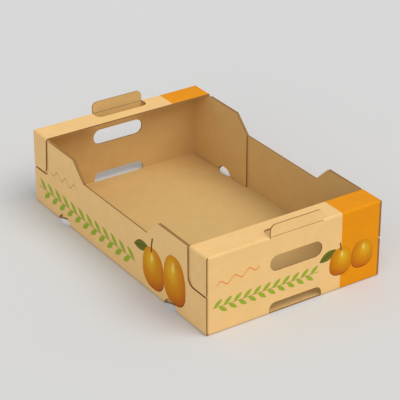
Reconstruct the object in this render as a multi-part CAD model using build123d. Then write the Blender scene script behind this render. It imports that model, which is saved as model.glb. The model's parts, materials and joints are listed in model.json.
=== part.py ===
from build123d import *
import math
import os

# A stackable fruit tray: one die-cut sheet of corrugated board, folded and glued at its corners.
# The floor carries two long side walls and two end walls. Each end wall turns its corners into two
# glue flaps, which lie inside the side walls, and folds inwards at the top as a shelf. The shelf
# folds down at each side as a flap, which fills a cut-out of the side wall and is glued to the same
# inner flap. A tab is cut free of each shelf and stands up from the end wall, to locate in the foot
# notch of the next tray. Width is X, length is Y, height is Z, and the tray stands on Z = 0.

# Overall size and board
tray_length = 600.0  # outside the end walls
tray_width = 375.0  # outside the side walls
tray_height = 154.0  # floor's underside to the shelves' top face
board = 3.0  # board thickness
crease_radius = 1.0  # inside radius of every fold
glue_line = 0.2  # thickness of glue between two panels
knife_gap = 0.8  # width of a cut that parts two panels

# Side walls, measured from the nearer end of the tray
side_low_height = 116.0  # top edge along the middle
side_rise_start = 189.0  # where the edge leaves the low middle
side_rise_end = 152.0  # where it reaches the full height
side_end_setback = 1.5  # side wall's cut end, behind the end wall's outer face
glue_flap_lift = 1.0  # glue flap's lower edge, above the floor

# Shelves and their side flaps
shelf_depth = 52.0
shelf_flap_step = 2.0  # flap's inner edge at the fold, behind the shelf's inner edge
shelf_flap_taper = 5.0  # how much narrower the flap is at its foot
shelf_flap_foot = 79.0  # height of the flap's lower edge
shelf_flap_corner = 10.0
flap_gap_side = 8.5  # cut-out's clearance beside the flap
flap_gap_foot = 4.0  # cut-out's clearance below the flap
cutout_corner = 17.0

# Stacking tabs and the notches they locate in
tab_width = 112.0
tab_rise = 22.0  # above the shelf
tab_corner = 11.0
score_width = 1.0  # scored line at the tab's root
score_depth = 0.4
end_notch_fit = 0.5  # play at each side of a tab in the notch above it
end_notch_height = 21.5
end_notch_corner = 13.0

# Hand holes
hand_hole_width = 112.0
hand_hole_height = 31.0
hand_hole_level = 99.5  # height of the centre

# Foot notches of the side walls, cut across the fold and tapered to both sides of it
side_notch_place = 112.5  # centre, from the end
side_notch_width = 45.0  # at the fold
side_notch_top_width = 20.0
side_notch_height = 16.0
side_notch_floor_depth = 11.0  # into the floor, from the wall's outer face
side_notch_corner = 4.0

# Glue beads that hold the corners
bead_width = 8.0
bead_margin = 14.0  # between a bead's ends and the panel's edges

# Worked out from the sizes above
half_length = tray_length / 2
half_width = tray_width / 2
fold_radius = crease_radius + board  # outside radius of every fold
fold_arc = math.pi / 2 * (crease_radius + board / 2)  # length of board in a fold, at mid-thickness
crease_setback = fold_radius - fold_arc / 2  # a crease's middle, from the outer face it leads to
inner_face = half_width - board - glue_line  # outer face of the glue flaps
wall_top = tray_height - board  # side walls and glue flaps end under the shelf
tab_reach = tab_rise + 2 * fold_radius - fold_arc  # tab's tip when it lay in the shelf, from the end
end_notch_width = tab_width + 2 * end_notch_fit
shelf_flap_root = shelf_depth - shelf_flap_step  # flap's inner edge at the fold, from the end
shelf_flap_tip = shelf_flap_root - shelf_flap_taper  # flap's inner edge at its foot, from the end
cutout_width = shelf_flap_root + flap_gap_side
cutout_foot = shelf_flap_foot - flap_gap_foot
overcut = 5.0  # how far a cutting body runs past the board


def from_end(distance):
    """Y of a place at the given distance from the +Y end."""
    return half_length - distance


def block(x_low, x_high, y_low, y_high, z_low, z_high):
    """Box between two corners."""
    size = (x_high - x_low, y_high - y_low, z_high - z_low)
    centre = ((x_low + x_high) / 2, (y_low + y_high) / 2, (z_low + z_high) / 2)
    return Pos(*centre) * Box(*size)


def rounded_face(points, radii):
    """Closed outline through the points, each corner rounded by its own radius, 0 for a sharp one."""
    outline = make_face(Polyline(*points, close=True))
    for point, radius in zip(points, radii):
        if radius > 0:
            corner = outline.vertices().sort_by_distance(Vector(*point))[0]
            outline = fillet(corner, radius)
    return outline


def along_x(points, radii, x_low, x_high):
    """Outline of (Y, Z) points, extruded in X from x_low to x_high."""
    face = Plane.YZ.offset(x_low) * rounded_face(points, radii)
    return extrude(face, x_high - x_low, dir=(1, 0, 0))


def along_y(points, radii, y_low, y_high):
    """Outline of (X, Z) points, extruded in Y from y_low to y_high."""
    face = Plane(origin=(0, y_low, 0), x_dir=(1, 0, 0), z_dir=(0, -1, 0)) * rounded_face(points, radii)
    return extrude(face, y_high - y_low, dir=(0, 1, 0))


def both_sides(solid):
    """The solid and its mirror image at the other side wall."""
    return solid + mirror(solid, Plane.YZ)


def both_ends(solid):
    """The solid and its mirror image at the other end of the tray."""
    return solid + mirror(solid, Plane.XZ)


def folded_tube(half_x, y_low, y_high):
    """Board bent round a rectangle as wide as 2 half_x and as high as the tray, running in Y."""
    outer = Rectangle(2 * half_x, tray_height)
    outer = fillet(outer.vertices(), fold_radius)
    inner = Rectangle(2 * (half_x - board), tray_height - 2 * board)
    inner = fillet(inner.vertices(), crease_radius)
    place = Plane(origin=(0, y_low, tray_height / 2), x_dir=(1, 0, 0), z_dir=(0, -1, 0))
    return extrude(place * (outer - inner), y_high - y_low, dir=(0, 1, 0))


def side_wall_outline():
    """(Y, Z) outline of the +Y half of a side wall, with the cut-out for the shelf's flap."""
    points = [
        (0, 0),
        (from_end(side_end_setback), 0),
        (from_end(side_end_setback), cutout_foot),
        (from_end(cutout_width), cutout_foot),
        (from_end(cutout_width), wall_top),
        (from_end(side_rise_end), wall_top),
        (from_end(side_rise_start), side_low_height),
        (0, side_low_height),
    ]
    return points, [0, 0, 0, cutout_corner, 0, 0, 0, 0]


def glue_flap_outline():
    """(Y, Z) outline of the glue flap inside one corner."""
    points = [
        (from_end(fold_radius), board + glue_flap_lift),
        (from_end(fold_radius), wall_top),
        (from_end(side_rise_end), wall_top),
        (from_end(side_rise_start), side_low_height),
        (from_end(side_rise_start), board + glue_flap_lift),
    ]
    return points, [0, 0, 0, 0, 0]


def shelf_flap_outline():
    """(Y, Z) outline of a shelf's side flap, with the fold that it hangs from."""
    points = [
        (from_end(side_end_setback), tray_height),
        (from_end(shelf_depth), tray_height),
        (from_end(shelf_depth), tray_height - fold_radius),
        (from_end(shelf_flap_root), tray_height - fold_radius),
        (from_end(shelf_flap_tip), shelf_flap_foot),
        (from_end(side_end_setback), shelf_flap_foot),
    ]
    return points, [0, 0, 0, 0, shelf_flap_corner, 0]


def floor_and_side_walls():
    """Floor with both side walls folded up from it."""
    end_y = from_end(side_end_setback)
    channel = folded_tube(half_width, -end_y, end_y)
    outline, radii = side_wall_outline()
    kept = both_ends(along_x(outline, radii, -half_width, half_width))
    channel = channel & kept
    flat = half_width - fold_radius
    end_cut = block(-flat, flat, from_end(fold_radius), half_length, -overcut, tray_height)
    notch_half = end_notch_width / 2
    tongue_end = from_end(crease_setback)
    tongue = block(-notch_half, notch_half, from_end(fold_radius), tongue_end, 0, board)
    return channel - both_ends(end_cut) + both_ends(tongue)


def end_wall():
    """End wall at +Y, with its folds to the floor, the glue flaps and the shelf."""
    outer = Box(2 * inner_face, tray_length, tray_height)
    outer = fillet(outer.edges(), fold_radius)
    inner = Box(2 * (inner_face - board), tray_length - 2 * board, tray_height - 2 * board)
    inner = fillet(inner.edges(), crease_radius)
    shell = Pos(0, 0, tray_height / 2) * (outer - inner)
    return shell & block(-half_width, half_width, from_end(fold_radius), half_length, 0, tray_height)


def glue_flap():
    """Glue flap inside the +X +Y corner."""
    outline, radii = glue_flap_outline()
    return along_x(outline, radii, inner_face - board, inner_face)


def shelf():
    """Shelf at +Y with both its side flaps."""
    channel = folded_tube(half_width, from_end(shelf_depth), from_end(side_end_setback))
    outline, radii = shelf_flap_outline()
    channel = channel & along_x(outline, radii, -half_width, half_width)
    flat = half_width - fold_radius
    end_cut = block(-flat, flat, from_end(fold_radius), half_length, 0, tray_height + overcut)
    return channel - end_cut


def tab_hole():
    """Opening that the tab leaves in the shelf and its fold, at +Y."""
    half = tab_width / 2 + knife_gap
    depth = tab_reach + knife_gap
    corner = tab_corner + knife_gap
    low = tray_height - fold_radius
    body = block(-half, half, from_end(depth), half_length + overcut, low, tray_height + overcut)
    inner_corners = body.edges().filter_by(Axis.Z).group_by(Axis.Y)[0]
    return fillet(inner_corners, corner)


def stacking_tab():
    """Tab that stands up in the end wall's plane at +Y, with a scored line at its root."""
    half = tab_width / 2
    low = tray_height - fold_radius
    body = block(-half, half, from_end(board), half_length, low, tray_height + tab_rise)
    top_corners = body.edges().filter_by(Axis.Y).group_by(Axis.Z)[-1]
    body = fillet(top_corners, tab_corner)
    score_low = tray_height - score_width
    outer_score = block(-half, half, from_end(score_depth), half_length, score_low, tray_height)
    inner_score_y = from_end(board)
    inner_score = block(-half, half, inner_score_y, inner_score_y + score_depth, score_low, tray_height)
    return body - outer_score - inner_score


def hand_hole():
    """Cutting body for the hand hole at +Y."""
    slot = SlotOverall(hand_hole_width, hand_hole_height)
    place = Plane(origin=(0, from_end(board) - overcut, hand_hole_level), x_dir=(1, 0, 0), z_dir=(0, -1, 0))
    return extrude(place * slot, board + 2 * overcut, dir=(0, 1, 0))


def end_notch():
    """Cutting body for the foot notch of the end wall at +Y. The floor's tongue stays below it."""
    half = end_notch_width / 2
    points = [
        (-half, -overcut),
        (half, -overcut),
        (half, end_notch_height),
        (-half, end_notch_height),
    ]
    radii = [0, 0, end_notch_corner, end_notch_corner]
    return along_y(points, radii, from_end(fold_radius), half_length + overcut)


def notch_outline(fold_side, far_side):
    """Tapered outline of a side notch, from the fold zone's edge to its far side, past both."""
    centre = from_end(side_notch_place)
    wide = side_notch_width / 2
    narrow = side_notch_top_width / 2
    points = [
        (centre - wide, fold_side),
        (centre + wide, fold_side),
        (centre + narrow, far_side),
        (centre - narrow, far_side),
    ]
    return points, [0, 0, side_notch_corner, side_notch_corner]


def side_notch():
    """Cutting body for the foot notch across the side fold, in the +X +Y quarter."""
    centre = from_end(side_notch_place)
    wide = side_notch_width / 2
    fold_start = half_width - fold_radius
    fold_zone = block(
        fold_start, half_width + overcut, centre - wide, centre + wide, -overcut, fold_radius
    )
    outline, radii = notch_outline(fold_radius, side_notch_height)
    in_walls = along_x(outline, radii, inner_face - board - overcut, half_width + overcut)
    outline, radii = notch_outline(fold_start, half_width - side_notch_floor_depth)
    floor_shape = [(x, y) for y, x in outline]
    in_floor = extrude(rounded_face(floor_shape, radii), fold_radius, dir=(0, 0, 1))
    return fold_zone + in_walls + in_floor


def glue_beads():
    """Beads of glue between the panels in the +X +Y corner."""
    beads = []
    under_shelf_flap = (cutout_foot + bead_margin, wall_top - bead_margin)
    under_side_wall = (side_notch_height + bead_margin, side_low_height - bead_margin)
    shelf_bead_place = (side_end_setback + shelf_flap_tip) / 2
    for place, (low, high) in (
        (shelf_bead_place, under_shelf_flap),
        (cutout_width + bead_margin, under_side_wall),
        (side_rise_start - bead_margin, under_side_wall),
    ):
        y_low = from_end(place + bead_width / 2)
        beads.append(block(inner_face, half_width - board, y_low, y_low + bead_width, low, high))
    return beads


def tray():
    """The whole folded and glued tray."""
    body = floor_and_side_walls()
    end = end_wall() - end_notch() - tab_hole()
    body += both_ends(end)
    body += both_ends(both_sides(glue_flap()))
    body += both_ends(shelf() - tab_hole())
    body += both_ends(stacking_tab())
    for bead in glue_beads():
        body += both_ends(both_sides(bead))
    body -= both_ends(hand_hole())
    body -= both_ends(both_sides(side_notch()))
    return body


part = tray()
os.makedirs("parts", exist_ok=True)
export_step(part, "parts/tray.step")
print("solids", len(part.solids()), "volume", round(part.volume), "area", round(part.area))
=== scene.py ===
import json
import math
from collections import namedtuple

import bmesh
import bpy
from mathutils import Matrix, Vector


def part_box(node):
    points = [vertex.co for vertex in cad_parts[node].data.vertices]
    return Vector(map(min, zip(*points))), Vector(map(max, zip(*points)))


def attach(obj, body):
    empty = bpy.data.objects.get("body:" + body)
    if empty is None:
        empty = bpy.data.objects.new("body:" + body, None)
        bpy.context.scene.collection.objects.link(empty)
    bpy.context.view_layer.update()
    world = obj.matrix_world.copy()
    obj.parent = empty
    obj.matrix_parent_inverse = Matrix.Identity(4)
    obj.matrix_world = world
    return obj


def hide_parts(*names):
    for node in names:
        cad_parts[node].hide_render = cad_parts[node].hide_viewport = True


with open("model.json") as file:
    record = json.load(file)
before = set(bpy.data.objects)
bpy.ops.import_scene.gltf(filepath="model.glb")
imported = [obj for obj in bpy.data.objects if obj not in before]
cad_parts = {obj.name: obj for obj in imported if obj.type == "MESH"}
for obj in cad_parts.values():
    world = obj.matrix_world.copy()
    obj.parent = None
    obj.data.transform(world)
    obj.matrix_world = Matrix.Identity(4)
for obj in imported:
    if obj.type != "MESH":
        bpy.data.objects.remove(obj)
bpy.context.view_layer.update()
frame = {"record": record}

bl_info = {
    "name": "Cardboard Tray Box",
    "version": (1, 0, 0),
    "blender": (4, 5, 0),
    "location": "View3D > Sidebar > Tray Box",
    "description": "Die-cuts, prints and folds a stackable fruit tray of corrugated board",
    "category": "Add Mesh",
}

MM = 0.001
NODE = "tray"

# The overall size comes from the frame: the tabs are the highest part, and a shelf carries a mount.
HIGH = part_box(NODE)[1]
MOUNTS = {mount["name"]: mount for mount in frame["record"]["mounts"]}
SHELF_HEIGHT = MOUNTS["shelf_near"]["pos_m"][2]

# Panels of the sheet
FLOOR, SIDE, END, GLUE_FLAP, SHELF, SHELF_FLAP, TAB = range(1, 8)

# Material slots of the sheet
PRINTED, KRAFT, CUT_LINER, HOLLOW = range(4)

# Directions on the flat sheet
ACROSS, ALONG = range(2)

# Steps in a fold, a rounded corner and a flute, and the thickness of the fluted paper
FOLD_STEPS = 6
ROUND_STEPS = 10
FLUTE_STEPS = 8
FLUTE_PAPER = 0.25 * MM

# A hand hole's ends are rounded by a little less than half its height, so that their points stay apart.
ROUND_END = 0.999
# The walls of a hollow cut edge lean in by this share of a liner's thickness.
HOLLOW_LEAN = 0.05

# Places on the sheet closer than this count as the same: for planes, for vertices and for fold lines.
ON_PLANE = 1e-7
SAME_VERT = 1e-6
SAME_LINE = 1e-5


def length(name, description, default):
    """Distance property, given in millimetres."""
    return bpy.props.FloatProperty(
        name=name, description=description, default=default * MM, min=0.0,
        unit="LENGTH", subtype="DISTANCE", precision=4,
    )


def fraction(name, description, default):
    """Property for a share of the board's thickness."""
    return bpy.props.FloatProperty(
        name=name, description=description, default=default, min=0.3, max=1.0, subtype="FACTOR",
    )


def colour(name, description, red, green, blue):
    """Colour property, given as the shade seen on a screen, 0 to 255."""
    shade = [screen_to_light(value / 255) for value in (red, green, blue)]
    return bpy.props.FloatVectorProperty(
        name=name, description=description, default=(*shade, 1.0), size=4,
        min=0.0, max=1.0, subtype="COLOR",
    )


def screen_to_light(value):
    """Linear amount of light of a screen shade from 0 to 1."""
    return value / 12.92 if value <= 0.04045 else ((value + 0.055) / 1.055) ** 2.4


class TrayBoardSizes(bpy.types.PropertyGroup):
    """Sizes of the corrugated board, its folds and its cuts."""

    board: length("Board", "Thickness of the corrugated board", 3.0)
    crease: length("Crease radius", "Inside radius of every fold", 1.0)
    glue_line: length("Glue line", "Gap between two glued panels", 0.2)
    knife_gap: length("Knife gap", "Width of a cut that parts two panels", 0.8)
    liner: length("Liner", "Thickness of each paper liner", 0.4)
    flute_pitch: length("Flute pitch", "Distance from one flute to the next", 6.4)
    cut_depth: length("Cut depth", "How far the board is hollow behind a cut edge", 1.2)
    crease_press: fraction("Crease press", "Share of the thickness left where a fold is pressed", 0.86)
    score_press: fraction("Score press", "Share of the thickness left at the scored root of a tab", 0.6)


class TrayPanelSizes(bpy.types.PropertyGroup):
    """Sizes of the panels, with places from the nearer end and heights from the foot."""

    side_low: length("Low middle", "Height of a side wall's low middle", 116.0)
    rise_start: length("Rise start", "Where a side wall leaves its low middle", 189.0)
    rise_end: length("Rise end", "Where a side wall reaches its full height", 152.0)
    side_setback: length("Side setback", "Side wall's cut end, behind the end wall", 1.5)
    glue_lift: length("Glue flap lift", "Glue flap's lower edge, above the floor", 1.0)
    shelf_depth: length("Shelf depth", "Shelf's inner edge, from the end", 52.0)
    flap_step: length("Flap step", "Shelf flap's inner edge at its fold, behind the shelf's", 2.0)
    flap_taper: length("Flap taper", "How much narrower the shelf flap is at its foot", 5.0)
    flap_foot: length("Flap foot", "Height of the shelf flap's lower edge", 79.0)
    flap_corner: length("Flap corner", "Radius of the shelf flap's lower corner", 10.0)
    gap_side: length("Side gap", "Cut-out's clearance beside the shelf flap", 8.5)
    gap_foot: length("Foot gap", "Cut-out's clearance below the shelf flap", 4.0)
    cutout_corner: length("Cut-out corner", "Radius of the cut-out's corner", 17.0)


class TrayOpeningSizes(bpy.types.PropertyGroup):
    """Sizes of the stacking tabs, the hand holes and the foot notches."""

    tab_width: length("Tab width", "Width of a stacking tab", 112.0)
    tab_corner: length("Tab corner", "Radius of a tab's upper corners", 11.0)
    score_width: length("Score width", "Width of the scored line at a tab's root", 1.0)
    notch_fit: length("Notch fit", "Play at each side of a tab in the notch above it", 0.5)
    notch_height: length("Notch height", "Height of an end wall's foot notch", 21.5)
    notch_corner: length("Notch corner", "Radius of a foot notch's upper corners", 13.0)
    hole_width: length("Hole width", "Width of a hand hole", 112.0)
    hole_height: length("Hole height", "Height of a hand hole", 31.0)
    hole_level: length("Hole level", "Height of a hand hole's centre", 99.5)
    side_notch_place: length("Side notch place", "Centre of a side notch, from the end", 112.5)
    side_notch_width: length("Side notch width", "Width of a side notch at the fold", 45.0)
    side_notch_top: length("Side notch top", "Width of a side notch at its far side", 20.0)
    side_notch_height: length("Side notch height", "Height of a side notch", 16.0)
    side_notch_depth: length("Side notch depth", "How far a side notch cuts into the floor", 11.0)
    side_notch_corner: length("Side notch corner", "Rounding of a side notch's corners", 4.0)


class TrayPrintSizes(bpy.types.PropertyGroup):
    """Sizes of the print."""

    band_start: length("Band start", "Edge of the orange band, from the middle of the width", 98.5)
    side_fruit: length("Side fruit", "Half the width of a fruit on a side wall", 35.0)
    end_fruit: length("End fruit", "Half the width of a fruit on an end wall", 24.5)
    side_leaf: length("Side leaf", "Half the length of a leaf in a side wall's garland", 15.0)
    end_leaf: length("End leaf", "Half the length of a leaf in an end wall's garland", 11.0)


class TrayColours(bpy.types.PropertyGroup):
    """Colours of the print, the liners and the cut board."""

    liner: colour("Printed liner", "Ground of the printed outside", 242, 199, 133)
    band: colour("Band", "Printed side of the tray", 234, 148, 3)
    fruit: colour("Fruit", "Body of a printed fruit", 212, 136, 4)
    fruit_light: colour("Fruit light", "Lit side of a printed fruit", 226, 172, 24)
    fruit_shade: colour("Fruit shade", "Dark side of a printed fruit", 192, 104, 4)
    leaf: colour("Leaf", "Leaf beside a printed fruit", 108, 110, 26)
    leaf_dark: colour("Leaf vein", "Vein of that leaf", 72, 80, 26)
    sprig: colour("Sprig", "Leaves of the garlands", 160, 178, 52)
    sprig_dark: colour("Sprig stem", "Stem and veins of the garlands", 126, 148, 42)
    gleam: colour("Gleam", "Small highlight of a printed fruit", 250, 224, 132)
    blush: colour("Blush", "Lower end of a printed fruit", 192, 96, 10)
    rim: colour("Rim", "Thin shadow under a printed fruit", 120, 58, 10)
    stalk: colour("Stalk", "Stalk of a printed fruit", 100, 66, 22)
    swash: colour("Swash", "Thin printed line above an end wall's garland", 236, 150, 84)
    faint_swash: colour("Faint swash", "The same line on a side wall", 214, 164, 100)
    kraft: colour("Kraft", "Bare liner inside the tray", 216, 180, 119)
    cut: colour("Cut liner", "Cut edge of a liner", 194, 154, 97)
    flute: colour("Flute", "Fluted paper between the liners", 174, 132, 79)
    floor: colour("Studio floor", "Floor of the studio", 217, 217, 217)


GROUPS = {
    "tray_board": TrayBoardSizes,
    "tray_panels": TrayPanelSizes,
    "tray_openings": TrayOpeningSizes,
    "tray_print": TrayPrintSizes,
    "tray_colours": TrayColours,
}


class Blank:
    """Where the panels lie on the flat sheet: U across the width, V along the length, from the middle."""

    def __init__(self, scene):
        self.board = scene.tray_board
        self.panels = scene.tray_panels
        self.openings = scene.tray_openings
        self.fold_radius = self.board.crease + self.board.board
        self.fold_length = math.pi / 2 * (self.board.crease + self.board.board / 2)
        self.half_width = HIGH.x
        self.half_length = HIGH.y
        self.floor_u = self.half_width - self.fold_radius
        self.floor_v = self.half_length - self.fold_radius
        self.end_u = self.floor_u - self.board.board - self.board.glue_line
        self.wall_top = SHELF_HEIGHT - self.board.board
        self.shelf_fold_v = self.end_v(SHELF_HEIGHT - self.fold_radius)
        self.tab_half = self.openings.tab_width / 2
        self.notch_half = self.tab_half + self.openings.notch_fit
        self.flap_root = self.panels.shelf_depth - self.panels.flap_step
        self.tab_v = self.end_v(HIGH.z)
        self.score_v = self.end_v(SHELF_HEIGHT)

    def side_u(self, height):
        """U of a height on a side wall."""
        return self.floor_u + self.fold_length + height - self.fold_radius

    def along(self, from_end):
        """V on the floor and the side walls of a place at a distance from the end."""
        return self.half_length - from_end

    def end_v(self, height):
        """V of a height on an end wall."""
        return self.floor_v + self.fold_length + height - self.fold_radius

    def glue_u(self, from_end):
        """U on a glue flap of a place at a distance from the end."""
        return self.end_u + self.fold_length + from_end - self.fold_radius

    def shelf_v(self, from_end):
        """V on a shelf of a place at a distance from the end."""
        return self.shelf_fold_v + self.fold_length + from_end - self.fold_radius

    def flap_u(self, height):
        """U of a height on a shelf's side flap."""
        return self.floor_u + self.fold_length + SHELF_HEIGHT - self.fold_radius - height

    def fold_lines(self, fold):
        """Places of the lines that a fold turns about, from its start outwards."""
        start = getattr(self, fold.start)
        step = self.fold_length / FOLD_STEPS
        return [start + (index + 0.5) * step for index in range(FOLD_STEPS)]

    def notch_points(self, across, fold, far):
        """Tapered outline of a side notch. across turns a distance from the end into a coordinate."""
        centre = self.openings.side_notch_place
        wide = self.openings.side_notch_width / 2
        narrow = self.openings.side_notch_top / 2
        corner = self.openings.side_notch_corner
        return [
            (across(centre + wide), fold, 0),
            (across(centre + narrow), far, corner),
            (across(centre - narrow), far, corner),
            (across(centre - wide), fold, 0),
        ]


def cut_panel(mesh, panel, outline):
    """Adds one flat panel from (u, v, corner radius) points and rounds its corners."""
    tag = mesh.faces.layers.int["panel"]
    corners = [mesh.verts.new((u, v, 0)) for u, v, _ in outline]
    face = mesh.faces.new(corners)
    face[tag] = panel
    by_radius = {}
    for corner, (*_, radius) in zip(corners, outline):
        if radius > 0:
            by_radius.setdefault(radius, []).append(corner)
    for radius, rounded in by_radius.items():
        bmesh.ops.bevel(
            mesh, geom=rounded, offset=radius, offset_type="OFFSET", affect="VERTICES",
            segments=ROUND_STEPS, profile=0.5, material=-1,
        )


def floor_outline(blank):
    """Quarter of the floor, with its part of a side notch and the tongue under an end notch."""
    notch_u = blank.half_width - blank.openings.side_notch_depth
    notch = blank.notch_points(blank.along, blank.floor_u, notch_u)
    tongue_v = blank.floor_v + blank.fold_length / 2
    return [
        (0, 0, 0),
        (blank.floor_u, 0, 0),
        *[(u, v, corner) for v, u, corner in notch],
        (blank.floor_u, blank.floor_v, 0),
        (blank.notch_half, blank.floor_v, 0),
        (blank.notch_half, tongue_v, 0),
        (0, tongue_v, 0),
    ]


def side_outline(blank):
    """Half of a side wall, with a cut-out for a shelf's flap and a side notch."""
    panels = blank.panels
    low_u = blank.side_u(panels.side_low)
    top_u = blank.side_u(blank.wall_top)
    foot_u = blank.side_u(panels.flap_foot - panels.gap_foot)
    end_v = blank.along(panels.side_setback)
    cutout_v = blank.along(blank.flap_root + panels.gap_side)
    fold_u = blank.side_u(blank.fold_radius)
    notch = blank.notch_points(blank.along, fold_u, blank.side_u(blank.openings.side_notch_height))
    return [
        (blank.floor_u, 0, 0),
        (low_u, 0, 0),
        (low_u, blank.along(panels.rise_start), 0),
        (top_u, blank.along(panels.rise_end), 0),
        (top_u, cutout_v, 0),
        (foot_u, cutout_v, panels.cutout_corner),
        (foot_u, end_v, 0),
        (blank.floor_u, end_v, 0),
        (blank.floor_u, blank.floor_v, 0),
        (blank.floor_u, notch[-1][0], 0),
        *[(u, v, corner) for v, u, corner in reversed(notch)],
        (blank.floor_u, notch[0][0], 0),
    ]


def end_outline(blank):
    """Half of an end wall, with half of its foot notch and of its hand hole."""
    openings = blank.openings
    hole_low = blank.end_v(openings.hole_level - openings.hole_height / 2)
    hole_high = blank.end_v(openings.hole_level + openings.hole_height / 2)
    hole_corner = openings.hole_height / 2 * ROUND_END
    notch_v = blank.end_v(openings.notch_height)
    return [
        (blank.notch_half, blank.floor_v, 0),
        (blank.floor_u, blank.floor_v, 0),
        (blank.floor_u, blank.end_v(blank.fold_radius), 0),
        (blank.end_u, blank.end_v(blank.fold_radius), 0),
        (blank.end_u, blank.shelf_fold_v, 0),
        (blank.tab_half + blank.board.knife_gap, blank.shelf_fold_v, 0),
        (blank.tab_half, blank.shelf_fold_v, 0),
        (0, blank.shelf_fold_v, 0),
        (0, hole_high, 0),
        (openings.hole_width / 2, hole_high, hole_corner),
        (openings.hole_width / 2, hole_low, hole_corner),
        (0, hole_low, 0),
        (0, notch_v, 0),
        (blank.notch_half, notch_v, openings.notch_corner),
    ]


def glue_flap_outline(blank):
    """Glue flap at one side of an end wall."""
    panels = blank.panels
    foot_v = blank.end_v(blank.board.board + panels.glue_lift)
    low_v = blank.end_v(panels.side_low)
    top_v = blank.end_v(blank.wall_top)
    fold_end = blank.glue_u(blank.fold_radius)
    notch = blank.notch_points(blank.glue_u, foot_v, blank.end_v(blank.openings.side_notch_height))
    return [
        (blank.end_u, foot_v, 0),
        (fold_end, foot_v, 0),
        *reversed(notch),
        (blank.glue_u(panels.rise_start), foot_v, 0),
        (blank.glue_u(panels.rise_start), low_v, 0),
        (blank.glue_u(panels.rise_end), top_v, 0),
        (fold_end, top_v, 0),
        (fold_end, blank.shelf_fold_v, 0),
        (blank.end_u, blank.shelf_fold_v, 0),
    ]


def shelf_outline(blank):
    """Half of a shelf, with half of the hole that its tab leaves."""
    hole_u = blank.tab_half + blank.board.knife_gap
    hole_v = blank.tab_v + blank.board.knife_gap
    inner_v = blank.shelf_v(blank.panels.shelf_depth)
    fold_end = blank.shelf_v(blank.fold_radius)
    return [
        (hole_u, blank.shelf_fold_v, 0),
        (blank.end_u, blank.shelf_fold_v, 0),
        (blank.floor_u, blank.shelf_fold_v, 0),
        (blank.floor_u, fold_end, 0),
        (blank.floor_u, inner_v, 0),
        (0, inner_v, 0),
        (0, hole_v, 0),
        (hole_u, hole_v, blank.openings.tab_corner + blank.board.knife_gap),
    ]


def shelf_flap_outline(blank):
    """Side flap of a shelf."""
    panels = blank.panels
    outer_v = blank.shelf_v(panels.side_setback)
    fold_end = blank.flap_u(SHELF_HEIGHT - blank.fold_radius)
    foot_u = blank.flap_u(panels.flap_foot)
    return [
        (blank.floor_u, outer_v, 0),
        (foot_u, outer_v, 0),
        (foot_u, blank.shelf_v(blank.flap_root - panels.flap_taper), panels.flap_corner),
        (fold_end, blank.shelf_v(blank.flap_root), 0),
        (fold_end, blank.shelf_v(panels.shelf_depth), 0),
        (blank.floor_u, blank.shelf_v(panels.shelf_depth), 0),
        (blank.floor_u, blank.shelf_v(blank.fold_radius), 0),
    ]


def tab_outline(blank):
    """Half of a stacking tab, cut free of the shelf."""
    return [
        (0, blank.shelf_fold_v, 0),
        (blank.tab_half, blank.shelf_fold_v, 0),
        (blank.tab_half, blank.tab_v, blank.openings.tab_corner),
        (0, blank.tab_v, 0),
    ]


Fold = namedtuple("Fold", "panel beyond axis start")

# Each fold: panel that bends, panels beyond it, direction that it is crossed in, and the name of the
# value where it starts. The outermost come first.
FOLDS = (
    Fold(SHELF_FLAP, (), ACROSS, "floor_u"),
    Fold(SHELF, (SHELF_FLAP,), ALONG, "shelf_fold_v"),
    Fold(GLUE_FLAP, (), ACROSS, "end_u"),
    Fold(END, (GLUE_FLAP, SHELF, SHELF_FLAP, TAB), ALONG, "floor_v"),
    Fold(SIDE, (), ACROSS, "floor_u"),
)


def from_middle(axis, distance):
    """Place at a distance from the sheet's middle, across it or along it."""
    return Vector((distance, 0, 0)) if axis == ACROSS else Vector((0, distance, 0))


def cut_line(mesh, panel, axis, distance):
    """Cuts a panel along a straight line at a distance from the middle, for a fold or a score."""
    tag = mesh.faces.layers.int["panel"]
    faces = [face for face in mesh.faces if face[tag] == panel]
    edges = {edge for face in faces for edge in face.edges}
    verts = {vert for face in faces for vert in face.verts}
    bmesh.ops.bisect_plane(
        mesh, geom=[*verts, *edges, *faces], dist=ON_PLANE,
        plane_co=from_middle(axis, distance), plane_no=from_middle(axis, 1),
    )


def die_cut(mesh, blank):
    """Cuts the flat sheet: one quarter of each panel, mirrored twice, with its lines for folds and scores."""
    mesh.faces.layers.int.new("panel")
    cut_panel(mesh, FLOOR, floor_outline(blank))
    cut_panel(mesh, SIDE, side_outline(blank))
    cut_panel(mesh, END, end_outline(blank))
    cut_panel(mesh, GLUE_FLAP, glue_flap_outline(blank))
    cut_panel(mesh, SHELF, shelf_outline(blank))
    cut_panel(mesh, SHELF_FLAP, shelf_flap_outline(blank))
    cut_panel(mesh, TAB, tab_outline(blank))
    bmesh.ops.remove_doubles(mesh, verts=mesh.verts, dist=SAME_VERT)
    for fold in FOLDS:
        for line in blank.fold_lines(fold):
            cut_line(mesh, fold.panel, fold.axis, line)
    # The score of a tab has a line at each side and one in its middle.
    for share in (1, 1 / 2, 0):
        cut_line(mesh, TAB, ALONG, blank.score_v - blank.openings.score_width * share)
    for axis in "XY":
        everything = [*mesh.verts, *mesh.edges, *mesh.faces]
        bmesh.ops.mirror(mesh, geom=everything, matrix=Matrix(), merge_dist=SAME_VERT, axis=axis)
    # The printed side faces down, so that it ends up outside.
    bmesh.ops.recalc_face_normals(mesh, faces=mesh.faces)
    if mesh.faces[0].normal.z > 0:
        bmesh.ops.reverse_faces(mesh, faces=mesh.faces)


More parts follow.
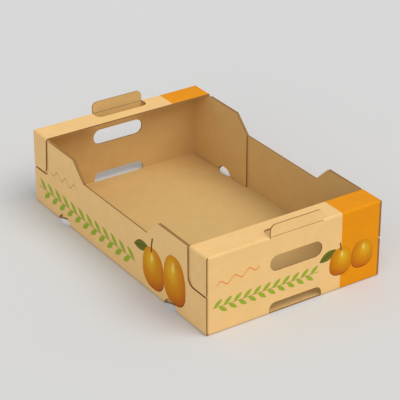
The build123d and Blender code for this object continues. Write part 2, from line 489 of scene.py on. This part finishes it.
def lay_flat_map(mesh):
    """Keeps each corner's place on the flat sheet as its UV, in metres, and each vertex's beside it."""
    uv = mesh.loops.layers.uv.new("blank")
    flat = mesh.verts.layers.float_vector.new("flat")
    for vert in mesh.verts:
        vert[flat] = vert.co
    for face in mesh.faces:
        for loop in face.loops:
            loop[uv].uv = loop.vert.co.xy


def fold_sheet(mesh, blank):
    """Folds the sheet up, outermost panels first, each fold in small turns."""
    flat = mesh.verts.layers.float_vector["flat"]
    middle = Vector((0, 0, blank.board.board / 2))
    bmesh.ops.translate(mesh, vec=middle, verts=mesh.verts)
    for fold in FOLDS:
        turn_axis, upwards = ("Y", -1) if fold.axis == ACROSS else ("X", 1)
        for side in (1, -1):
            bending = verts_on_side(mesh, (fold.panel,), fold.axis, side)
            carried = verts_on_side(mesh, fold.beyond, fold.axis, side)
            turn = math.radians(90 / FOLD_STEPS) * side * upwards
            for line in reversed(blank.fold_lines(fold)):
                past = {vert for vert in bending if vert[flat][fold.axis] * side > line + SAME_VERT}
                bmesh.ops.rotate(
                    mesh, cent=middle + from_middle(fold.axis, line * side),
                    matrix=Matrix.Rotation(turn, 3, turn_axis), verts=list(carried | past),
                )


def verts_on_side(mesh, panels, axis, side):
    """Vertices of some panels, at the plus or the minus side of the flat sheet's middle."""
    tag = mesh.faces.layers.int["panel"]
    flat = mesh.verts.layers.float_vector["flat"]
    faces = [face for face in mesh.faces if face[tag] in panels]
    faces = [face for face in faces if sum(vert[flat][axis] for vert in face.verts) * side > 0]
    return {vert for face in faces for vert in face.verts}


def verts_on_lines(mesh, panel, axis, lines):
    """Numbers of a panel's vertices that lie on some lines of the flat sheet, on both sides of its middle."""
    flat = mesh.verts.layers.float_vector["flat"]
    tag = mesh.faces.layers.int["panel"]
    verts = {vert for face in mesh.faces if face[tag] == panel for vert in face.verts}
    return [
        vert.index for vert in verts
        if any(abs(abs(vert[flat][axis]) - line) < SAME_LINE for line in lines)
    ]


def new_object(name, data):
    """Puts a mesh, a light or a camera in the scene, at the origin."""
    made = bpy.data.objects.new(name, data)
    bpy.context.scene.collection.objects.link(made)
    return made


def new_piece(name, mesh, materials):
    """Makes a mesh object from a bmesh."""
    data = bpy.data.meshes.new(name)
    mesh.to_mesh(data)
    mesh.free()
    for material in materials:
        data.materials.append(material)
    return new_object(name, data)


def apply_modifiers(piece):
    """Bakes a piece's modifiers into its mesh."""
    graph = bpy.context.evaluated_depsgraph_get()
    finished = bpy.data.meshes.new_from_object(piece.evaluated_get(graph))
    piece.modifiers.clear()
    piece.vertex_groups.clear()
    piece.data = finished
    finished.name = piece.name


def hollow_cut_edges(piece, board):
    """Sinks the middle of every cut edge between its two liners."""
    mesh = bmesh.new()
    mesh.from_mesh(piece.data)
    rim = [face for face in mesh.faces if face.material_index == CUT_LINER]
    bmesh.ops.inset_region(
        mesh, faces=rim, use_boundary=True, use_even_offset=True, thickness=board.liner,
    )
    walls = bmesh.ops.inset_region(
        mesh, faces=rim, use_boundary=True, thickness=board.liner * HOLLOW_LEAN, depth=-board.cut_depth,
    )
    for face in (*rim, *walls["faces"]):
        face.material_index = HOLLOW
    mesh.to_mesh(piece.data)
    mesh.free()


class TRAY_OT_board(bpy.types.Operator):
    """Die-cut, print and fold the sheet of corrugated board"""

    bl_idname = "tray.board"
    bl_label = "Folded Board"

    def execute(self, context):
        blank = Blank(context.scene)
        mesh = bmesh.new()
        die_cut(mesh, blank)
        lay_flat_map(mesh)
        mesh.verts.index_update()
        creased = []
        for fold in FOLDS:
            creased += verts_on_lines(mesh, fold.panel, fold.axis, blank.fold_lines(fold))
        scored = verts_on_lines(mesh, TAB, ALONG, [blank.score_v - blank.openings.score_width / 2])
        everything = range(len(mesh.verts))
        fold_sheet(mesh, blank)
        finishes = (printed_liner, kraft_liner, cut_liner, flute_paper)
        piece = new_piece("folded_board", mesh, [finish(context.scene) for finish in finishes])
        thickness = piece.vertex_groups.new(name="thickness")
        thickness.add(list(everything), 1.0, "REPLACE")
        thickness.add(creased, blank.board.crease_press, "REPLACE")
        thickness.add(scored, blank.board.score_press, "REPLACE")
        solid = piece.modifiers.new("Board thickness", "SOLIDIFY")
        solid.thickness = blank.board.board
        solid.offset = 0
        solid.use_even_offset = True
        solid.vertex_group = thickness.name
        solid.material_offset = KRAFT - PRINTED
        solid.material_offset_rim = CUT_LINER - PRINTED
        apply_modifiers(piece)
        hollow_cut_edges(piece, blank.board)
        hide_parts(NODE)
        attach(piece, "root")
        return {"FINISHED"}


def split_along(mesh, edges, step):
    """Splits edges so that no piece of them runs further than a step along the sheet's length."""
    by_count = {}
    for edge in edges:
        run = abs(edge.verts[0].co.y - edge.verts[1].co.y)
        count = int(run / step)
        if count:
            by_count.setdefault(count, []).append(edge)
    for count, alike in by_count.items():
        bmesh.ops.subdivide_edges(mesh, edges=alike, cuts=count)


class TRAY_OT_flutes(bpy.types.Operator):
    """Put the fluted paper between the liners, along every cut edge"""

    bl_idname = "tray.flutes"
    bl_label = "Fluted Paper"

    def execute(self, context):
        blank = Blank(context.scene)
        board = blank.board
        mesh = bmesh.new()
        die_cut(mesh, blank)
        cut_edges = [edge for edge in mesh.edges if edge.is_boundary]
        split_along(mesh, cut_edges, board.flute_pitch / FLUTE_STEPS)
        sheet = list(mesh.faces)
        recess = board.liner / 2
        margin = bmesh.ops.inset_region(mesh, faces=sheet, use_boundary=True, thickness=recess)
        bmesh.ops.delete(mesh, context="FACES", geom=margin["faces"])
        bmesh.ops.inset_region(
            mesh, faces=sheet, use_boundary=True, thickness=board.cut_depth - recess,
        )
        bmesh.ops.delete(mesh, context="FACES", geom=sheet)
        lay_flat_map(mesh)
        swing = board.board / 2 - board.liner - FLUTE_PAPER / 2
        for vert in mesh.verts:
            vert.co.z = swing * math.sin(math.tau * vert.co.y / board.flute_pitch)
        fold_sheet(mesh, blank)
        piece = new_piece("fluted_paper", mesh, [flute_paper(context.scene)])
        solid = piece.modifiers.new("Paper thickness", "SOLIDIFY")
        solid.thickness = FLUTE_PAPER
        solid.offset = 0
        apply_modifiers(piece)
        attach(piece, "root")
        return {"FINISHED"}


class Graph:
    """Node tree of one material."""

    def __init__(self, name):
        self.material = bpy.data.materials.new(name)
        self.material.use_nodes = True
        self.tree = self.material.node_tree
        self.shader = self.tree.nodes["Principled BSDF"]

    def node(self, kind, **settings):
        """Adds a node with some of its settings."""
        made = self.tree.nodes.new(kind)
        for key, value in settings.items():
            setattr(made, key, value)
        return made

    def feed(self, socket, value):
        """Links a socket to an output, or sets it to a value."""
        if isinstance(value, bpy.types.NodeSocket):
            self.tree.links.new(value, socket)
        else:
            socket.default_value = value

    def math(self, operation, *values):
        """Result of one sum on numbers or outputs."""
        made = self.node("ShaderNodeMath", operation=operation)
        for socket, value in zip(made.inputs, values):
            self.feed(socket, value)
        return made.outputs[0]

    def add(self, first, second):
        return self.math("ADD", first, second)

    def minus(self, first, second):
        return self.math("SUBTRACT", first, second)

    def times(self, first, second):
        return self.math("MULTIPLY", first, second)

    def square(self, value):
        return self.times(value, value)

    def unsigned(self, value):
        """A number without its sign."""
        return self.math("ABSOLUTE", value)

    def over(self, value, limit):
        """1 where a value is over a limit, and 0 elsewhere."""
        return self.math("GREATER_THAN", value, limit)

    def distance(self, x, y):
        """Length of the straight line to a place."""
        return self.math("SQRT", self.add(self.square(x), self.square(y)))

    def vary(self, shade, grain, share):
        """Lets a grain from 0 to 1 make a shade lighter and darker, by a share of its swing."""
        return self.add(shade, self.times(self.minus(grain, 0.5), share))

    def under(self, value, limit):
        """1 where a value is under a limit, and 0 elsewhere."""
        return self.math("LESS_THAN", value, limit)

    def between(self, value, low, high):
        """1 where a value is between two limits, and 0 elsewhere."""
        return self.times(self.over(value, low), self.under(value, high))

    def ramp(self, value, low, high):
        """Smooth rise from 0 at one value to 1 at another."""
        made = self.node("ShaderNodeMapRange", interpolation_type="SMOOTHSTEP")
        for name, setting in (("Value", value), ("From Min", low), ("From Max", high)):
            self.feed(made.inputs[name], setting)
        return made.outputs["Result"]

    def mix(self, share, first, second, **settings):
        """Mixes two colours by a share, in the way that the settings say."""
        made = self.node("ShaderNodeMix", data_type="RGBA", **settings)
        self.feed(made.inputs["Factor"], share)
        colours = [socket for socket in made.inputs if socket.type == "RGBA"]
        for socket, value in zip(colours, (first, second)):
            self.feed(socket, value)
        return next(socket for socket in made.outputs if socket.type == "RGBA")

    def blend(self, share, first, second):
        """Goes from one colour to another."""
        return self.mix(share, first, second, clamp_factor=True)

    def shade(self, tint, amount):
        """A colour made lighter or darker by a number."""
        return self.mix(1, tint, amount, blend_type="MULTIPLY")

    def stretched(self, place, across, along):
        """Coordinates with their own scale across and along the sheet."""
        made = self.node("ShaderNodeMapping")
        made.inputs["Scale"].default_value = (across, along, across)
        self.feed(made.inputs["Vector"], place)
        return made.outputs["Vector"]

    def noise(self, place, scale, detail, roughness=0.5):
        """Noise from 0 to 1 on given coordinates."""
        made = self.node("ShaderNodeTexNoise")
        self.feed(made.inputs["Vector"], place)
        made.inputs["Scale"].default_value = scale
        made.inputs["Detail"].default_value = detail
        made.inputs["Roughness"].default_value = roughness
        return made.outputs["Fac"]

    def bump(self, height, depth):
        """Feeds the shader a bump of a given depth in metres."""
        made = self.node("ShaderNodeBump")
        made.inputs["Strength"].default_value = 1.0
        made.inputs["Distance"].default_value = depth
        self.feed(made.inputs["Height"], height)
        self.feed(self.shader.inputs["Normal"], made.outputs["Normal"])


class Sheet:
    """Coordinates on the flat sheet, for the materials of its two faces."""

    def __init__(self, graph, blank):
        self.blank = blank
        self.place = graph.node("ShaderNodeUVMap", uv_map="blank").outputs["UV"]
        split = graph.node("ShaderNodeSeparateXYZ")
        graph.feed(split.inputs[0], self.place)
        self.u, self.v = split.outputs["X"], split.outputs["Y"]
        self.far_u = graph.unsigned(self.u)
        self.far_v = graph.unsigned(self.v)
        self.side_height = graph.minus(self.far_u, blank.side_u(0))
        self.end_height = graph.minus(self.far_v, blank.end_v(0))
        self.on_side = graph.times(
            graph.over(self.far_u, blank.floor_u),
            graph.under(self.far_v, blank.half_length),
        )
        self.on_end = graph.over(self.far_v, blank.floor_v + blank.fold_length / 2)


# How much each layer of the paper's grain changes its shade, and how high it stands in the bump
CLOUD_SHADE = 0.16
FIBRE_SHADE, FIBRE_HEIGHT = 0.20, 0.5
CROSS_FIBRE_SHADE, CROSS_FIBRE_HEIGHT = 0.12, 0.3
SPECK_SHADE = 0.10
RIB_SHADE, RIB_HEIGHT = 0.004, 0.12
# Specks show where their noise is over these two levels, faintly and then fully.
SPECK_LEVELS = (0.66, 0.74)
# Shades of the grain at which the paper is at its roughest and at its smoothest
GRAIN_RANGE = (0.8, 1.2)
# A tab's scored line is darkened by this share, fully within this share of its width from its middle: the
# pressed paper's darker colour together with painted shade in the crease.
SCORE_SHADE, SCORE_CORE = 0.5, 0.3


def paper_grain(graph, sheet):
    """Shade and height of paper on flutes: cloudy pulp, fibres, specks and the flutes' faint ribs."""
    fine_along = graph.stretched(sheet.place, across=260, along=1500)
    fine_across = graph.stretched(sheet.place, across=1700, along=420)
    cloud = graph.noise(sheet.place, scale=26, detail=3, roughness=0.6)
    fibre = graph.noise(fine_along, scale=1, detail=4, roughness=0.65)
    cross_fibre = graph.noise(fine_across, scale=1, detail=3, roughness=0.6)
    speck = graph.ramp(graph.noise(sheet.place, scale=1900, detail=2), *SPECK_LEVELS)
    rib = graph.math("SINE", graph.times(sheet.v, math.tau / sheet.blank.board.flute_pitch))
    shade = graph.vary(1, cloud, CLOUD_SHADE)
    shade = graph.vary(shade, fibre, FIBRE_SHADE)
    shade = graph.vary(shade, cross_fibre, CROSS_FIBRE_SHADE)
    shade = graph.minus(shade, graph.times(speck, SPECK_SHADE))
    shade = graph.add(shade, graph.times(rib, RIB_SHADE))
    height = graph.add(graph.times(rib, RIB_HEIGHT), graph.times(fibre, FIBRE_HEIGHT))
    height = graph.add(height, graph.times(cross_fibre, CROSS_FIBRE_HEIGHT))
    return shade, height


def crushed_and_shaded_score(graph, sheet, shade):
    """Darkens the scored line at the root of a tab: partly the pressed paper's own colour, partly painted
    shade in the crease.
    """
    blank = sheet.blank
    width = blank.openings.score_width
    off_line = graph.unsigned(graph.minus(sheet.far_v, blank.score_v - width / 2))
    # Painted shade in the crease, together with the pressed paper's darker colour
    pressed_and_shaded = graph.minus(1, graph.ramp(off_line, width * SCORE_CORE, width))
    on_tab = graph.under(sheet.far_u, blank.tab_half)
    return graph.times(shade, graph.minus(1, graph.times(graph.times(pressed_and_shaded, on_tab), SCORE_SHADE)))


def finish_paper(graph, tint, shade, grain, height, roughness, gloss, depth):
    """Sets a paper's colour, its roughness from smooth to rough with the grain, its gloss and its bump."""
    inputs = graph.shader.inputs
    graph.feed(inputs["Base Color"], graph.shade(tint, shade))
    made = graph.node("ShaderNodeMapRange")
    graph.feed(made.inputs["Value"], grain)
    for name, value in zip(("From Min", "From Max", "To Max", "To Min"), (*GRAIN_RANGE, *roughness)):
        graph.feed(made.inputs[name], value)
    graph.feed(inputs["Roughness"], made.outputs["Result"])
    inputs["Specular IOR Level"].default_value = gloss
    graph.bump(height, depth)


def turned(graph, s, t, centre, angle):
    """Coordinates along and across a shape that lies at an angle round its centre."""
    x = graph.minus(s, centre[0])
    y = graph.minus(t, centre[1])
    along = graph.add(graph.times(x, math.cos(angle)), graph.times(y, math.sin(angle)))
    across = graph.minus(graph.times(y, math.cos(angle)), graph.times(x, math.sin(angle)))
    return along, across


def leaf_shape(graph, along, across, half_length, half_width):
    """Masks of a pointed leaf and of its vein."""
    fullness = graph.minus(1, graph.square(graph.times(along, 1 / half_length)))
    width = graph.unsigned(across)
    leaf = graph.under(width, graph.times(fullness, half_width))
    vein = graph.times(leaf, graph.under(width, half_width * VEIN_WIDTH))
    return leaf, vein


def in_metres(values):
    """Turns millimetres into metres."""
    return tuple(value * MM for value in values)


# Art of a side wall and of an end wall, in millimetres along the wall from its middle and up from its
# foot. Sizes of leaf, fruit and stalk are shares of half a fruit's width.
#   leaf: middle, half length, half width, angle in degrees
#   fruit: middle and half height, for each
#   stalk: foot, height, width
#   garland: start, end, level
#   swash: start, end, level at each, swing of the wave
SIDE_ART = {
    "leaf": ((-92, 83), 0.72, 0.3, -16),
    "fruit": (((-131, 53), 1.18), ((-200, 62), 1.38)),
    "stalk": ((-126, 84), 0.85, 0.12),
    "garland": (-70, 282, 40),
    "swash": (137, 235, 94, 90, 6),
}
END_ART = {
    "leaf": ((69, 77), 0.82, 0.36, 24),
    "fruit": (((98, 58), 1.14), ((146, 59), 1.14)),
    "stalk": ((98, 80), 0.65, 0.11),
    "garland": (-174, 50, 52),
    "swash": (-166, -78, 94, 106, 5),
}

# Outline of a fruit: how much it narrows upwards, and the power that makes its oval a little square
FRUIT_TAPER, FRUIT_POWER = 0.1, 2.4
# Shading of a fruit, in halves of its width and height from its middle: where the light and the gleam
# fall, and the distances over which each shade fades in or out
LIGHT_PLACE = (0.25, 0.3)
LIGHT_FADE = (0.05, 0.8)
SHADE_FADE = (0.7, 1.45)
BLUSH_LEAN = 0.35
BLUSH_FADE = (0.45, 1.3)
GLEAM_PLACE = (0.12, 0.48)
GLEAM_SQUEEZE = 1.6
GLEAM_FADE = (0.02, 0.34)
GLEAM_SHARE = 0.7
RIM_FADE = (0.82, 0.97)
RIM_IN_BLUSH = (0.15, 0.5)
# Garland: sizes are shares of half a leaf's length, and the angle is in degrees
LEAF_STEP = 1.9
LEAF_WIDTH = 0.37
LEAF_LIFT = 0.62
LEAF_ANGLE = 38
STEM_WIDTH = 0.05
# A vein's width as a share of its leaf's, and a wavy line's width as a share of its swing
VEIN_WIDTH = 0.07
SWASH_WIDTH = 0.3
SWASH_WAVES = 3


class Print:
    """Art printed on the outside of the sheet, one wall after the other."""

    def __init__(self, graph, colours, ground):
        self.graph = graph
        self.colours = colours
        self.tint = ground

    def ink(self, mask, colour):
        """Lays a colour on the present wall, where a mask is 1."""
        self.tint = self.graph.blend(self.graph.times(mask, self.on_wall), self.tint, colour)

    def wall(self, coordinates, art, fruit_width, leaf_length, swash_colour):
        """Prints one kind of wall. coordinates are its mask, the distance along it and the height."""
        self.on_wall, self.along, self.height = coordinates
        place, half_length, half_width, angle = art["leaf"]
        self.leaf(in_metres(place), fruit_width * half_length, fruit_width * half_width, angle)
        for place, half_height in art["fruit"]:
            self.fruit(in_metres(place), fruit_width, fruit_width * half_height)
        place, height, width = art["stalk"]
        self.stalk(in_metres(place), fruit_width * height, fruit_width * width)
        self.garland(*in_metres(art["garland"]), leaf_length)
        self.swash(*in_metres(art["swash"]), swash_colour)

    def leaf(self, centre, half_length, half_width, angle):
        """Prints a single leaf with its vein."""
        along, across = turned(self.graph, self.along, self.height, centre, math.radians(angle))
        leaf, vein = leaf_shape(self.graph, along, across, half_length, half_width)
        self.ink(leaf, self.colours.leaf)
        self.ink(vein, self.colours.leaf_dark)

    def fruit(self, centre, half_width, half_height):
        """Prints a plain oval fruit, lit from above, with a gleam and a thin shadow at its foot."""
        graph, colours = self.graph, self.colours
        y = graph.times(graph.minus(self.height, centre[1]), 1 / half_height)
        narrower = graph.minus(1, graph.times(y, FRUIT_TAPER))
        x = graph.math("DIVIDE", graph.times(graph.minus(self.along, centre[0]), 1 / half_width), narrower)
        outward = graph.add(*(graph.math("POWER", graph.unsigned(value), FRUIT_POWER) for value in (x, y)))
        from_light = graph.distance(graph.minus(x, LIGHT_PLACE[0]), graph.minus(y, LIGHT_PLACE[1]))
        skin = graph.blend(graph.ramp(from_light, *LIGHT_FADE), colours.fruit_light, colours.fruit)
        skin = graph.blend(graph.ramp(from_light, *SHADE_FADE), skin, colours.fruit_shade)
        low_end = graph.ramp(graph.times(graph.add(graph.times(x, BLUSH_LEAN), y), -1), *BLUSH_FADE)
        skin = graph.blend(low_end, skin, colours.blush)
        beside_gleam = graph.times(graph.minus(x, GLEAM_PLACE[0]), GLEAM_SQUEEZE)
        from_gleam = graph.distance(beside_gleam, graph.minus(y, GLEAM_PLACE[1]))
        gleam = graph.minus(1, graph.ramp(from_gleam, *GLEAM_FADE))
        skin = graph.blend(graph.times(gleam, GLEAM_SHARE), skin, colours.gleam)
        under = graph.times(graph.ramp(outward, *RIM_FADE), graph.ramp(low_end, *RIM_IN_BLUSH))
        skin = graph.blend(under, skin, colours.rim)
        self.ink(graph.under(outward, 1), skin)

    def stalk(self, foot, height, width):
        """Prints a fruit's stalk, bent a little to one side."""
        graph = self.graph
        rise = graph.times(graph.minus(self.height, foot[1]), 1 / height)
        lean = graph.times(graph.square(rise), width)
        off_middle = graph.unsigned(graph.minus(graph.add(self.along, lean), foot[0]))
        stalk = graph.times(graph.under(off_middle, width / 2), graph.between(rise, 0, 1))
        self.ink(stalk, self.colours.stalk)

    def garland(self, start, end, level, half_length):
        """Prints a stem with leaves above and below it, in two rows that are half a step apart."""
        graph, colours = self.graph, self.colours
        step = (end - start) / round((end - start) / (half_length * LEAF_STEP))
        stem = graph.under(graph.unsigned(graph.minus(self.height, level)), half_length * STEM_WIDTH)
        self.ink(graph.times(stem, graph.between(self.along, start, end)), colours.sprig_dark)
        for side, shift in ((1, 0), (-1, step / 2)):
            row = graph.between(self.along, start + shift, end - shift)
            steps = graph.times(graph.minus(self.along, start + shift), 1 / step)
            from_leaf = graph.times(graph.minus(graph.math("FRACT", steps), 0.5), step)
            from_stem = graph.times(graph.minus(self.height, level), side)
            centre = (0, half_length * LEAF_LIFT)
            along, across = turned(graph, from_leaf, from_stem, centre, math.radians(LEAF_ANGLE))
            leaf, vein = leaf_shape(graph, along, across, half_length, half_length * LEAF_WIDTH)
            self.ink(graph.times(leaf, row), colours.sprig)
            self.ink(graph.times(vein, row), colours.sprig_dark)

    def swash(self, start, end, start_level, end_level, swing, colour):
        """Prints a thin wavy line from one place to another."""
        graph = self.graph
        share = graph.times(graph.minus(self.along, start), 1 / (end - start))
        wave = graph.math("SINE", graph.times(share, math.tau * SWASH_WAVES))
        middle = graph.add(graph.times(share, end_level - start_level), start_level)
        off_middle = graph.minus(self.height, middle)
        off_line = graph.unsigned(graph.minus(off_middle, graph.times(wave, swing)))
        line = graph.under(off_line, swing * SWASH_WIDTH)
        self.ink(graph.times(line, graph.between(share, 0, 1)), colour)


def printed_liner(scene):
    """Printed outside: tan ground, orange side, two pairs of fruit, garlands and thin wavy lines."""
    colours, sizes = scene.tray_colours, scene.tray_print
    graph = Graph("printed_liner")
    sheet = Sheet(graph, Blank(scene))
    grain, height = paper_grain(graph, sheet)
    walls = graph.math("MAXIMUM", sheet.on_side, sheet.on_end)
    banded = graph.times(walls, graph.over(sheet.u, sizes.band_start))
    art = Print(graph, colours, graph.blend(banded, colours.liner, colours.band))
    side = (sheet.on_side, sheet.v, sheet.side_height)
    end = (sheet.on_end, sheet.u, sheet.end_height)
    art.wall(side, SIDE_ART, sizes.side_fruit, sizes.side_leaf, colours.faint_swash)
    art.wall(end, END_ART, sizes.end_fruit, sizes.end_leaf, colours.swash)
    shade = crushed_and_shaded_score(graph, sheet, grain)
    finish_paper(graph, art.tint, shade, grain, height, roughness=(0.48, 0.66), gloss=0.12, depth=0.05 * MM)
    return graph.material


def kraft_liner(scene):
    """Bare brown paper of the inside."""
    graph = Graph("kraft_liner")
    sheet = Sheet(graph, Blank(scene))
    grain, height = paper_grain(graph, sheet)
    shade = crushed_and_shaded_score(graph, sheet, grain)
    finish_paper(
        graph, scene.tray_colours.kraft, shade, grain, height,
        roughness=(0.78, 0.95), gloss=0.1, depth=0.08 * MM,
    )
    return graph.material


def torn_paper(name, tint, scale):
    """Rough cut paper on object coordinates, made once for each name."""
    made = bpy.data.materials.get(name)
    if made:
        return made
    graph = Graph(name)
    place = graph.node("ShaderNodeTexCoord").outputs["Object"]
    grain = graph.noise(place, scale, detail=4, roughness=0.7)
    shade = graph.vary(1, grain, 0.5)
    finish_paper(graph, tint, shade, shade, grain, roughness=(0.85, 1.0), gloss=0.15, depth=0.1 * MM)
    return graph.material


def cut_liner(scene):
    """Cut edges of the liners."""
    return torn_paper("cut_liner", scene.tray_colours.cut, 900)


def flute_paper(scene):
    """Fluted paper between the liners, seen at the cut edges."""
    return torn_paper("flute_paper", scene.tray_colours.flute, 700)


def studio_floor(scene):
    """Pale matt floor with barely seen clouds in its colour."""
    graph = Graph("studio_floor")
    place = graph.node("ShaderNodeTexCoord").outputs["Object"]
    shade = graph.vary(1, graph.noise(place, scale=3, detail=3), 0.02)
    graph.feed(graph.shader.inputs["Base Color"], graph.shade(scene.tray_colours.floor, shade))
    graph.shader.inputs["Roughness"].default_value = 0.85
    graph.shader.inputs["Specular IOR Level"].default_value = 0.1
    return graph.material


# Studio. Places are in metres, angles in degrees, and the lens and its sensor in millimetres.
FLOOR_REACH = 20
AIR_TINT = (0.94, 0.965, 1.0, 1)
AIR_STRENGTH = 0.54
LIT_PLACE = (0, 0, 0.08)
# Each light: name, place, angle that it fills in the sky, strength and tint
LIGHTS = (
    ("key_light", (0.95, -1.75, 3.2), 46, 1.54, (1.0, 0.965, 0.915)),
    ("fill_light", (-2.4, -1.7, 1.5), 45, 0.5, (1.0, 0.99, 0.97)),
)
CAMERA_AIM = (0.0302, 0.0478, 0.0469)
CAMERA_DISTANCE = 3.274
CAMERA_AZIMUTH = -33.5
CAMERA_ELEVATION = 27.98
CAMERA_ROLL = -0.14
CAMERA_LENS = 154.83
CAMERA_SENSOR = 36
CAMERA_REACH = 60


def look_at(thing, place, target, roll=0.0):
    """Puts a light or a camera at a place and points it at a target."""
    thing.location = place
    aim = (Vector(target) - Vector(place)).to_track_quat("-Z", "Y")
    thing.rotation_euler = (aim.to_matrix() @ Matrix.Rotation(roll, 3, "Z")).to_euler()


def soft_light(name, place, spread, strength, tint):
    """Adds a distant soft light. spread is the angle that it fills in the sky, in degrees."""
    data = bpy.data.lights.new(name, "SUN")
    data.angle = math.radians(spread)
    data.energy = strength
    data.color = tint
    look_at(new_object(name, data), place, LIT_PLACE)


class TRAY_OT_stage(bpy.types.Operator):
    """Set up the studio: floor, soft lights and camera"""

    bl_idname = "tray.stage"
    bl_label = "Studio"

    def execute(self, context):
        scene = context.scene
        mesh = bmesh.new()
        bmesh.ops.create_grid(mesh, x_segments=1, y_segments=1, size=FLOOR_REACH)
        new_piece("studio_floor", mesh, [studio_floor(scene)])

        world = bpy.data.worlds.new("studio_air")
        world.use_nodes = True
        air = world.node_tree.nodes["Background"]
        air.inputs["Color"].default_value = AIR_TINT
        air.inputs["Strength"].default_value = AIR_STRENGTH
        scene.world = world
        for light in LIGHTS:
            soft_light(*light)

        camera = new_object("studio_camera", bpy.data.cameras.new("studio_camera"))
        camera.data.sensor_width = CAMERA_SENSOR
        camera.data.lens = CAMERA_LENS
        camera.data.clip_end = CAMERA_REACH
        azimuth, elevation = math.radians(CAMERA_AZIMUTH), math.radians(CAMERA_ELEVATION)
        aim = Vector(CAMERA_AIM)
        back = Vector((
            math.sin(azimuth) * math.cos(elevation),
            -math.cos(azimuth) * math.cos(elevation),
            math.sin(elevation),
        ))
        look_at(camera, aim + back * CAMERA_DISTANCE, aim, math.radians(CAMERA_ROLL))
        scene.camera = camera
        scene.view_settings.view_transform = "Standard"
        return {"FINISHED"}


class TRAY_PT_panel(bpy.types.Panel):
    """Sizes and colours of the tray"""

    bl_idname = "TRAY_PT_panel"
    bl_label = "Tray Box"
    bl_space_type = "VIEW_3D"
    bl_region_type = "UI"
    bl_category = "Tray Box"

    def draw(self, context):
        layout = self.layout
        for operator in OPERATORS:
            layout.operator(operator.bl_idname)
        for name, group in GROUPS.items():
            box = layout.box()
            box.label(text=group.__doc__.strip("."))
            settings = getattr(context.scene, name)
            for key in group.__annotations__:
                box.prop(settings, key)


OPERATORS = (TRAY_OT_stage, TRAY_OT_board, TRAY_OT_flutes)


def register():
    for group in (*GROUPS.values(), *OPERATORS, TRAY_PT_panel):
        bpy.utils.register_class(group)
    for name, group in GROUPS.items():
        setattr(bpy.types.Scene, name, bpy.props.PointerProperty(type=group))


def unregister():
    for name in GROUPS:
        delattr(bpy.types.Scene, name)
    for group in reversed((*GROUPS.values(), *OPERATORS, TRAY_PT_panel)):
        bpy.utils.unregister_class(group)


def main():
    """Builds the tray and its studio."""
    register()
    bpy.ops.tray.stage()
    bpy.ops.tray.board()
    bpy.ops.tray.flutes()


if __name__ == "__main__":
    main()
